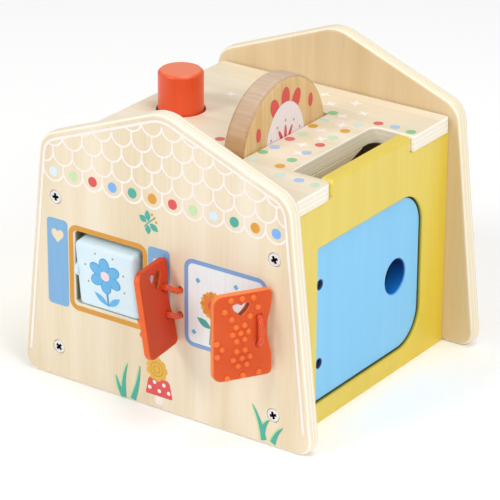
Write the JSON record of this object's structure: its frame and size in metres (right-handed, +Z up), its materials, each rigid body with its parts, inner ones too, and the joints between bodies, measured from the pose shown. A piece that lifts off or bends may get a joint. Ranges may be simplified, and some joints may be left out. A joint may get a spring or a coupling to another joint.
{
  "type": "activity house toy",
  "caption": "Wooden activity house with a hinged door, a posting slot, a turning wheel, a sprung chimney, a spinning block behind a window and corded flaps.",
  "frame": {"origin": "middle of the front gable's underside, half way through its thickness", "axes": "+X across the front towards the side with the door, +Y from the front gable to the back gable, +Z up"},
  "size_m": [0.1902, 0.2027, 0.1713],
  "materials": {
    "birch_ply": "clear satin varnish",
    "yellow_paint": "satin paint",
    "sky_paint": "satin paint",
    "orange_paint": "gloss paint",
    "beech": "clear satin varnish",
    "pale_block": "gloss",
    "flap_plastic": "satin",
    "cord_red": "woven",
    "steel": "zinc plated",
    "pine": "bare"
  },
  "bodies": {
    "house": {"front_gable": "birch_ply", "back_gable": "birch_ply", "left_wall": "yellow_paint", "right_wall": "yellow_paint", "base_board": "birch_ply", "roof_deck": "birch_ply", "front_screw_left_upper": "steel", "front_screw_right_upper": "steel", "front_screw_left_lower": "steel", "front_screw_right_lower": "steel", "back_screw_left_upper": "steel", "back_screw_right_upper": "steel", "back_screw_left_lower": "steel", "back_screw_right_lower": "steel", "door_stop": "pine", "wheel_axle": "steel", "axle_keeper_left": "pine", "axle_keeper_right": "pine", "keeper_screw_left_front": "steel", "keeper_screw_left_back": "steel", "keeper_screw_right_front": "steel", "keeper_screw_right_back": "steel", "plunger_spring": "steel", "plunger_bridge": "pine", "bridge_screw_front": "steel", "bridge_screw_back": "steel", "block_bracket_left": "pine", "block_bracket_right": "pine", "bracket_screw_left_upper": "steel", "bracket_screw_left_lower": "steel", "bracket_screw_right_upper": "steel", "bracket_screw_right_lower": "steel", "left_hinge_cord": "cord_red", "right_hinge_cord": "cord_red"},
    "door": {"door_panel": "sky_paint", "door_rod": "steel", "door_screw_lower": "steel", "door_screw_upper": "steel"},
    "wheel": {"wheel_disc": "beech"},
    "chimney": {"chimney_plunger": "orange_paint", "plunger_flange": "pine", "plunger_stem": "beech"},
    "block": {"spin_block": "pale_block", "block_axle": "beech"},
    "flap_left": {"left_flap": "flap_plastic"},
    "flap_right": {"right_flap": "flap_plastic"}
  },
  "joints": [
    {"name": "door_hinge", "type": "hinge", "parent": "house", "child": "door", "pos_m": [0.0696, 0.0352, 0.0569], "axis": [0, 0, -1], "range_deg": [0, 100]},
    {"name": "wheel_spin", "type": "hinge", "parent": "house", "child": "wheel", "pos_m": [0.012, 0.0815, 0.1298], "axis": [1, 0, 0], "continuous": true},
    {"name": "chimney_push", "type": "slide", "parent": "house", "child": "chimney", "axis": [0, 0, -1], "range_m": [0, 0.014], "stiffness_N_per_m": 300, "springref_m": -0.006, "deforming": ["plunger_spring"]},
    {"name": "block_spin", "type": "hinge", "parent": "house", "child": "block", "pos_m": [-0.03575, 0.0121, 0.0709], "axis": [1, 0, 0], "continuous": true},
    {"name": "left_flap_hinge", "type": "hinge", "parent": "house", "child": "flap_left", "pos_m": [0.0091, -0.0071, 0.0443], "axis": [-0.1564, 0, 0.9877], "range_deg": [-68, 82], "deforming": ["left_hinge_cord"]},
    {"name": "right_flap_hinge", "type": "hinge", "parent": "house", "child": "flap_right", "pos_m": [0.0692, -0.0071, 0.0443], "axis": [0, 0, 1], "range_deg": [-58, 107], "deforming": ["right_hinge_cord"]}
  ]
}
